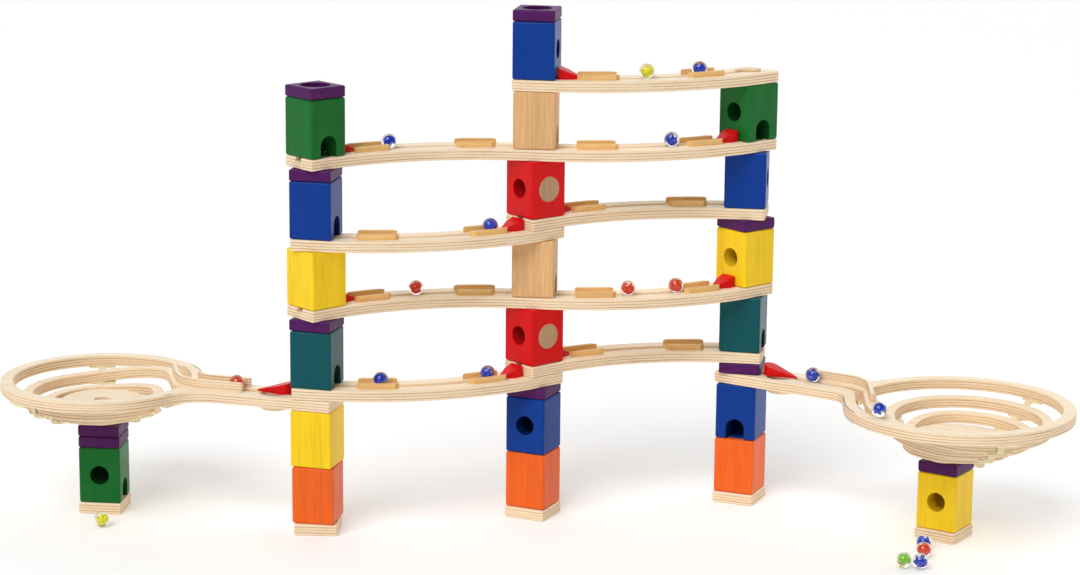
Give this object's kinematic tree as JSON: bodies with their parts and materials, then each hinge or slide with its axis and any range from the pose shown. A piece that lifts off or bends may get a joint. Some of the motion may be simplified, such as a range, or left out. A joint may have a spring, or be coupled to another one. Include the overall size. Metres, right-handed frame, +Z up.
{
  "type": "wooden marble run",
  "caption": "Free-standing wooden marble run: block towers that turn on round pegs, curved grooved rails with guide strips and ramps, spiral funnels, and glass marbles.",
  "frame": {"origin": "on the table, at the middle of the centre tower's base plate", "axes": "+X to the right along the front, +Y towards the back, +Z up"},
  "size_m": [1.1161, 0.3237, 0.5397],
  "materials": {
    "natural_beech": "clear satin",
    "birch_plywood": "clear satin, plies showing at the edges",
    "painted_red": "semi-gloss stain",
    "painted_orange": "semi-gloss stain",
    "painted_yellow": "semi-gloss stain",
    "painted_green": "semi-gloss stain",
    "painted_teal": "semi-gloss stain",
    "painted_blue": "semi-gloss stain",
    "painted_purple": "semi-gloss stain",
    "glass_blue": "polished, coloured swirl inside",
    "glass_red": "polished, coloured swirl inside",
    "glass_yellow": "polished, coloured swirl inside"
  },
  "bodies": {
    "frame": {"left_base": "birch_plywood", "center_base": "birch_plywood", "right_base": "birch_plywood", "far_left_base": "birch_plywood", "far_right_base": "birch_plywood", "top_rail": "birch_plywood", "upper_long_rail": "birch_plywood", "upper_right_rail": "birch_plywood", "upper_left_rail": "birch_plywood", "lower_long_rail": "birch_plywood", "lower_right_rail": "birch_plywood", "lower_left_rail": "birch_plywood", "left_funnel": "birch_plywood", "right_funnel": "birch_plywood", "left_long_ramp": "painted_red", "right_long_ramp": "painted_red"},
    "left_orange_block": {"left_orange_block": "painted_orange"},
    "left_lower_yellow_block": {"left_lower_yellow_block": "painted_yellow"},
    "left_teal_block": {"left_teal_block": "painted_teal"},
    "left_upper_yellow_block": {"left_upper_yellow_block": "painted_yellow"},
    "left_blue_block": {"left_blue_block": "painted_blue"},
    "left_green_block": {"left_green_block": "painted_green"},
    "center_orange_block": {"center_orange_block": "painted_orange"},
    "center_lower_blue_block": {"center_lower_blue_block": "painted_blue"},
    "center_lower_red_block": {"center_lower_red_block": "painted_red"},
    "center_lower_natural_block": {"center_lower_natural_block": "natural_beech"},
    "center_upper_red_block": {"center_upper_red_block": "painted_red"},
    "center_upper_natural_block": {"center_upper_natural_block": "natural_beech"},
    "center_top_blue_block": {"center_top_blue_block": "painted_blue"},
    "right_orange_block": {"right_orange_block": "painted_orange"},
    "right_lower_blue_block": {"right_lower_blue_block": "painted_blue"},
    "right_teal_block": {"right_teal_block": "painted_teal"},
    "right_yellow_block": {"right_yellow_block": "painted_yellow"},
    "right_upper_blue_block": {"right_upper_blue_block": "painted_blue"},
    "right_green_block": {"right_green_block": "painted_green"},
    "far_left_green_block": {"far_left_green_block": "painted_green"},
    "far_right_yellow_block": {"far_right_yellow_block": "painted_yellow"},
    "left_lower_adjuster": {"left_lower_adjuster": "painted_purple"},
    "left_middle_adjuster": {"left_middle_adjuster": "painted_purple"},
    "left_top_adjuster": {"left_top_adjuster": "painted_purple"},
    "center_lower_adjuster": {"center_lower_adjuster": "painted_purple"},
    "center_top_adjuster": {"center_top_adjuster": "painted_purple"},
    "right_lower_adjuster": {"right_lower_adjuster": "painted_purple"},
    "right_upper_adjuster": {"right_upper_adjuster": "painted_purple"},
    "far_left_lower_adjuster": {"far_left_lower_adjuster": "painted_purple"},
    "far_left_upper_adjuster": {"far_left_upper_adjuster": "painted_purple"},
    "far_right_adjuster": {"far_right_adjuster": "painted_purple"},
    "top_rail_yellow_marble": {"top_rail_yellow_marble": "glass_yellow"},
    "top_rail_blue_marble": {"top_rail_blue_marble": "glass_blue"},
    "upper_long_rail_left_marble": {"upper_long_rail_left_marble": "glass_blue"},
    "upper_long_rail_right_marble": {"upper_long_rail_right_marble": "glass_blue"},
    "upper_left_rail_marble": {"upper_left_rail_marble": "glass_blue"},
    "lower_long_rail_left_marble": {"lower_long_rail_left_marble": "glass_red"},
    "lower_long_rail_middle_marble": {"lower_long_rail_middle_marble": "glass_red"},
    "lower_long_rail_right_marble": {"lower_long_rail_right_marble": "glass_red"},
    "lower_left_rail_first_marble": {"lower_left_rail_first_marble": "glass_blue"},
    "lower_left_rail_second_marble": {"lower_left_rail_second_marble": "glass_blue"},
    "left_track_marble": {"left_track_marble": "glass_red"},
    "right_track_marble": {"right_track_marble": "glass_blue"},
    "right_funnel_marble": {"right_funnel_marble": "glass_blue"}
  },
  "joints": [
    {"name": "left_orange_block_turn", "type": "hinge", "parent": "frame", "child": "left_orange_block", "pos_m": [-0.22461, -0.05809, 0.012], "axis": [0, 0, 1], "continuous": true},
    {"name": "left_lower_yellow_block_turn", "type": "hinge", "parent": "frame", "child": "left_lower_yellow_block", "pos_m": [-0.22461, -0.05809, 0.072], "axis": [0, 0, 1], "continuous": true},
    {"name": "left_teal_block_turn", "type": "hinge", "parent": "frame", "child": "left_teal_block", "pos_m": [-0.22461, -0.05809, 0.156], "axis": [0, 0, 1], "continuous": true},
    {"name": "left_upper_yellow_block_turn", "type": "hinge", "parent": "frame", "child": "left_upper_yellow_block", "pos_m": [-0.22461, -0.05809, 0.24], "axis": [0, 0, 1], "range_deg": [-7, 6.5]},
    {"name": "left_blue_block_turn", "type": "hinge", "parent": "frame", "child": "left_blue_block", "pos_m": [-0.22461, -0.05809, 0.312], "axis": [0, 0, 1], "continuous": true},
    {"name": "left_green_block_turn", "type": "hinge", "parent": "frame", "child": "left_green_block", "pos_m": [-0.22461, -0.05809, 0.396], "axis": [0, 0, 1], "range_deg": [-7, 6.5]},
    {"name": "center_orange_block_turn", "type": "hinge", "parent": "frame", "child": "center_orange_block", "pos_m": [0, 0, 0.012], "axis": [0, 0, 1], "continuous": true},
    {"name": "center_lower_blue_block_turn", "type": "hinge", "parent": "frame", "child": "center_lower_blue_block", "pos_m": [0, 0, 0.072], "axis": [0, 0, 1], "continuous": true},
    {"name": "center_lower_red_block_turn", "type": "hinge", "parent": "frame", "child": "center_lower_red_block", "pos_m": [0, 0, 0.168], "axis": [0, 0, 1], "range_deg": [-6.5, 7]},
    {"name": "center_lower_natural_block_turn", "type": "hinge", "parent": "frame", "child": "center_lower_natural_block", "pos_m": [0, 0, 0.24], "axis": [0, 0, 1], "continuous": true},
    {"name": "center_upper_red_block_turn", "type": "hinge", "parent": "frame", "child": "center_upper_red_block", "pos_m": [0, 0, 0.324], "axis": [0, 0, 1], "range_deg": [-4.5, 9]},
    {"name": "center_upper_natural_block_turn", "type": "hinge", "parent": "frame", "child": "center_upper_natural_block", "pos_m": [0, 0, 0.396], "axis": [0, 0, 1], "continuous": true},
    {"name": "center_top_blue_block_turn", "type": "hinge", "parent": "frame", "child": "center_top_blue_block", "pos_m": [0, 0, 0.468], "axis": [0, 0, 1], "range_deg": [-7, 6.5]},
    {"name": "right_orange_block_turn", "type": "hinge", "parent": "frame", "child": "right_orange_block", "pos_m": [0.22461, 0.05809, 0.012], "axis": [0, 0, 1], "continuous": true},
    {"name": "right_lower_blue_block_turn", "type": "hinge", "parent": "frame", "child": "right_lower_blue_block", "pos_m": [0.22461, 0.05809, 0.072], "axis": [0, 0, 1], "continuous": true},
    {"name": "right_teal_block_turn", "type": "hinge", "parent": "frame", "child": "right_teal_block", "pos_m": [0.22461, 0.05809, 0.168], "axis": [0, 0, 1], "continuous": true},
    {"name": "right_yellow_block_turn", "type": "hinge", "parent": "frame", "child": "right_yellow_block", "pos_m": [0.22461, 0.05809, 0.24], "axis": [0, 0, 1], "range_deg": [-6.5, 7]},
    {"name": "right_upper_blue_block_turn", "type": "hinge", "parent": "frame", "child": "right_upper_blue_block", "pos_m": [0.22461, 0.05809, 0.324], "axis": [0, 0, 1], "continuous": true},
    {"name": "right_green_block_turn", "type": "hinge", "parent": "frame", "child": "right_green_block", "pos_m": [0.22461, 0.05809, 0.396], "axis": [0, 0, 1], "range_deg": [-6.5, 7]},
    {"name": "far_left_green_block_turn", "type": "hinge", "parent": "frame", "child": "far_left_green_block", "pos_m": [-0.45477, 0.01669, 0.012], "axis": [0, 0, 1], "continuous": true},
    {"name": "far_right_yellow_block_turn", "type": "hinge", "parent": "frame", "child": "far_right_yellow_block", "pos_m": [0.42641, -0.07548, 0.012], "axis": [0, 0, 1], "continuous": true},
    {"name": "left_lower_adjuster_turn", "type": "hinge", "parent": "frame", "child": "left_lower_adjuster", "pos_m": [-0.22461, -0.05809, 0.216], "axis": [0, 0, 1], "continuous": true},
    {"name": "left_middle_adjuster_turn", "type": "hinge", "parent": "frame", "child": "left_middle_adjuster", "pos_m": [-0.22461, -0.05809, 0.372], "axis": [0, 0, 1], "continuous": true},
    {"name": "left_top_cap_lift", "type": "slide", "parent": "frame", "child": "left_top_adjuster", "axis": [0, 0, 1], "range_m": [0, 0.05]},
    {"name": "center_lower_adjuster_turn", "type": "hinge", "parent": "frame", "child": "center_lower_adjuster", "pos_m": [0, 0, 0.132], "axis": [0, 0, 1], "continuous": true},
    {"name": "center_top_cap_lift", "type": "slide", "parent": "frame", "child": "center_top_adjuster", "axis": [0, 0, 1], "range_m": [0, 0.05]},
    {"name": "right_lower_adjuster_turn", "type": "hinge", "parent": "frame", "child": "right_lower_adjuster", "pos_m": [0.22461, 0.05809, 0.144], "axis": [0, 0, 1], "range_deg": [-40, 3]},
    {"name": "right_upper_adjuster_turn", "type": "hinge", "parent": "frame", "child": "right_upper_adjuster", "pos_m": [0.22461, 0.05809, 0.3], "axis": [0, 0, 1], "continuous": true},
    {"name": "far_left_lower_adjuster_turn", "type": "hinge", "parent": "frame", "child": "far_left_lower_adjuster", "pos_m": [-0.45477, 0.01669, 0.072], "axis": [0, 0, 1], "continuous": true},
    {"name": "far_left_upper_adjuster_turn", "type": "hinge", "parent": "frame", "child": "far_left_upper_adjuster", "pos_m": [-0.45477, 0.01669, 0.084], "axis": [0, 0, 1], "continuous": true},
    {"name": "far_right_adjuster_turn", "type": "hinge", "parent": "frame", "child": "far_right_adjuster", "pos_m": [0.42641, -0.07548, 0.072], "axis": [0, 0, 1], "continuous": true},
    {"name": "top_rail_yellow_marble_roll", "type": "hinge", "parent": "frame", "child": "top_rail_yellow_marble", "pos_m": [0.05276, 0.2593, 0.468], "axis": [0, 0, 1], "range_deg": [-12.45, 4.66]},
    {"name": "top_rail_blue_marble_roll", "type": "hinge", "parent": "frame", "child": "top_rail_blue_marble", "pos_m": [0.05276, 0.2593, 0.468], "axis": [0, 0, 1], "range_deg": [-3.38, 4.2]},
    {"name": "upper_long_rail_left_marble_roll", "type": "hinge", "parent": "frame", "child": "upper_long_rail_left_marble", "pos_m": [-0.05276, -0.2593, 0.396], "axis": [0, 0, -1], "range_deg": [-6.28, 23.17]},
    {"name": "upper_long_rail_right_marble_roll", "type": "hinge", "parent": "frame", "child": "upper_long_rail_right_marble", "pos_m": [0.05276, 0.2593, 0.396], "axis": [0, 0, 1], "range_deg": [-20.57, 8.66]},
    {"name": "upper_left_rail_marble_roll", "type": "hinge", "parent": "frame", "child": "upper_left_rail_marble", "pos_m": [-0.17185, 0.20122, 0.312], "axis": [0, 0, 1], "range_deg": [-29.66, 0.02]},
    {"name": "lower_long_rail_left_marble_roll", "type": "hinge", "parent": "frame", "child": "lower_long_rail_left_marble", "pos_m": [-0.05276, -0.2593, 0.24], "axis": [0, 0, -1], "range_deg": [-12.56, 16.89]},
    {"name": "lower_long_rail_middle_marble_roll", "type": "hinge", "parent": "frame", "child": "lower_long_rail_middle_marble", "pos_m": [0.05276, 0.2593, 0.24], "axis": [0, 0, 1], "range_deg": [-10.83, 3.9]},
    {"name": "lower_long_rail_right_marble_roll", "type": "hinge", "parent": "frame", "child": "lower_long_rail_right_marble", "pos_m": [0.05276, 0.2593, 0.24], "axis": [0, 0, 1], "range_deg": [-3.25, 6.93]},
    {"name": "lower_left_rail_first_marble_roll", "type": "hinge", "parent": "frame", "child": "lower_left_rail_first_marble", "pos_m": [-0.17185, 0.20122, 0.156], "axis": [0, 0, 1], "range_deg": [-4.33, 10.83]},
    {"name": "lower_left_rail_second_marble_roll", "type": "hinge", "parent": "frame", "child": "lower_left_rail_second_marble", "pos_m": [-0.17185, 0.20122, 0.156], "axis": [0, 0, 1], "range_deg": [-9.74, 0.43]},
    {"name": "left_track_marble_roll", "type": "slide", "parent": "frame", "child": "left_track_marble", "axis": [-0.9511, 0.309, 0], "range_m": [-0.01, 0.028]},
    {"name": "right_track_marble_roll", "type": "slide", "parent": "frame", "child": "right_track_marble", "axis": [0.8339, -0.5519, 0], "range_m": [-0.007, 0.028]},
    {"name": "right_funnel_marble_roll", "type": "hinge", "parent": "frame", "child": "right_funnel_marble", "pos_m": [0.43642, -0.0821, 0.144], "axis": [0, 0, 1], "range_deg": [-12, 45]}
  ]
}
